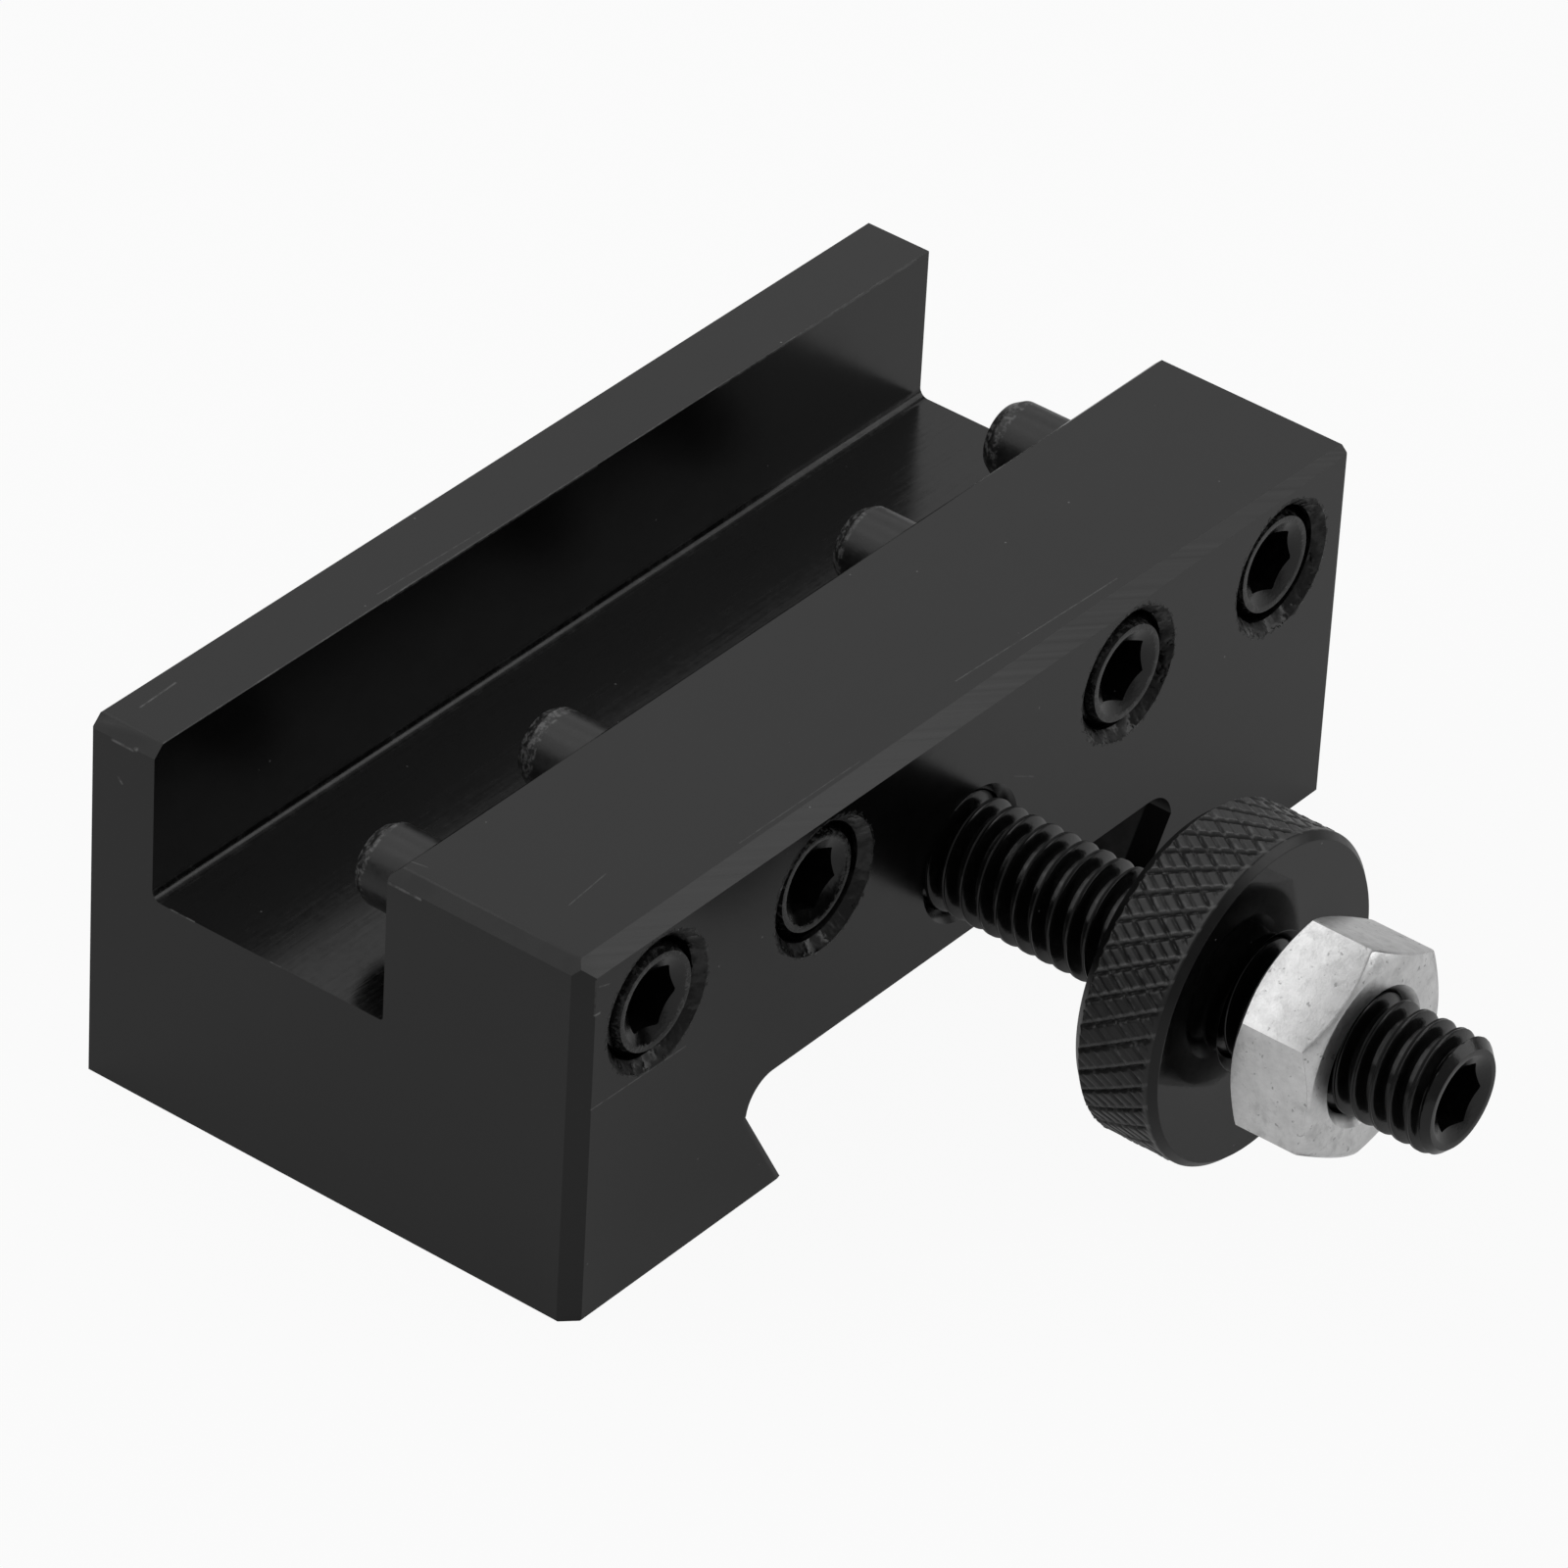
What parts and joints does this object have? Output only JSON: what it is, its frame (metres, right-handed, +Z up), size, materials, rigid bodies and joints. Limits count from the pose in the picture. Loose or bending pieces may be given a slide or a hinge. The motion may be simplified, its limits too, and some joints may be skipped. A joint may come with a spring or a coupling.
{
  "type": "quick change tool holder",
  "caption": "Blackened steel lathe tool holder with an open tool slot, set screws that clamp the tool, a dovetail groove below, and a knurled height wheel on a stud with a lock nut.",
  "frame": {"origin": "middle of the dovetail groove's mouth, on the dovetail face that the holder lies on", "axes": "+X along the tool slot, from the chamfered cutting end to the other end; +Y across the holder, from the clamp screws' face to the thin wall, along the dovetail groove; +Z up from the dovetail face to the top"},
  "size_m": [0.056, 0.0563, 0.0197],
  "materials": {
    "black_steel": "milled and ground, black oxide, satin",
    "screw_steel": "black oxide, oiled, glossy",
    "wheel_steel": "turned and diamond knurled, black oxide, semi-gloss",
    "zinc_steel": "zinc plated, mottled satin"
  },
  "bodies": {
    "holder": {"holder_body": "black_steel", "height_stud": "screw_steel"},
    "screw_1": {"clamp_screw_1": "screw_steel"},
    "screw_2": {"clamp_screw_2": "screw_steel"},
    "screw_3": {"clamp_screw_3": "screw_steel"},
    "screw_4": {"clamp_screw_4": "screw_steel"},
    "wheel": {"knurled_wheel": "wheel_steel"},
    "nut": {"lock_nut": "zinc_steel"}
  },
  "joints": [
    {"name": "screw_1_travel", "type": "slide", "parent": "holder", "child": "screw_1", "axis": [0, 1, 0], "range_m": [-0.0048, 0.0087]},
    {"name": "screw_2_travel", "type": "slide", "parent": "holder", "child": "screw_2", "axis": [0, 1, 0], "range_m": [-0.0051, 0.0083]},
    {"name": "screw_3_travel", "type": "slide", "parent": "holder", "child": "screw_3", "axis": [0, 1, 0], "range_m": [-0.0048, 0.0087]},
    {"name": "screw_4_travel", "type": "slide", "parent": "holder", "child": "screw_4", "axis": [0, 1, 0], "range_m": [-0.0051, 0.0084]},
    {"name": "wheel_travel", "type": "slide", "parent": "holder", "child": "wheel", "axis": [0, 1, 0], "range_m": [0, 0.0118]},
    {"name": "nut_travel", "type": "slide", "parent": "holder", "child": "nut", "axis": [0, 1, 0], "range_m": [-0.0045, 0.0016]}
  ]
}
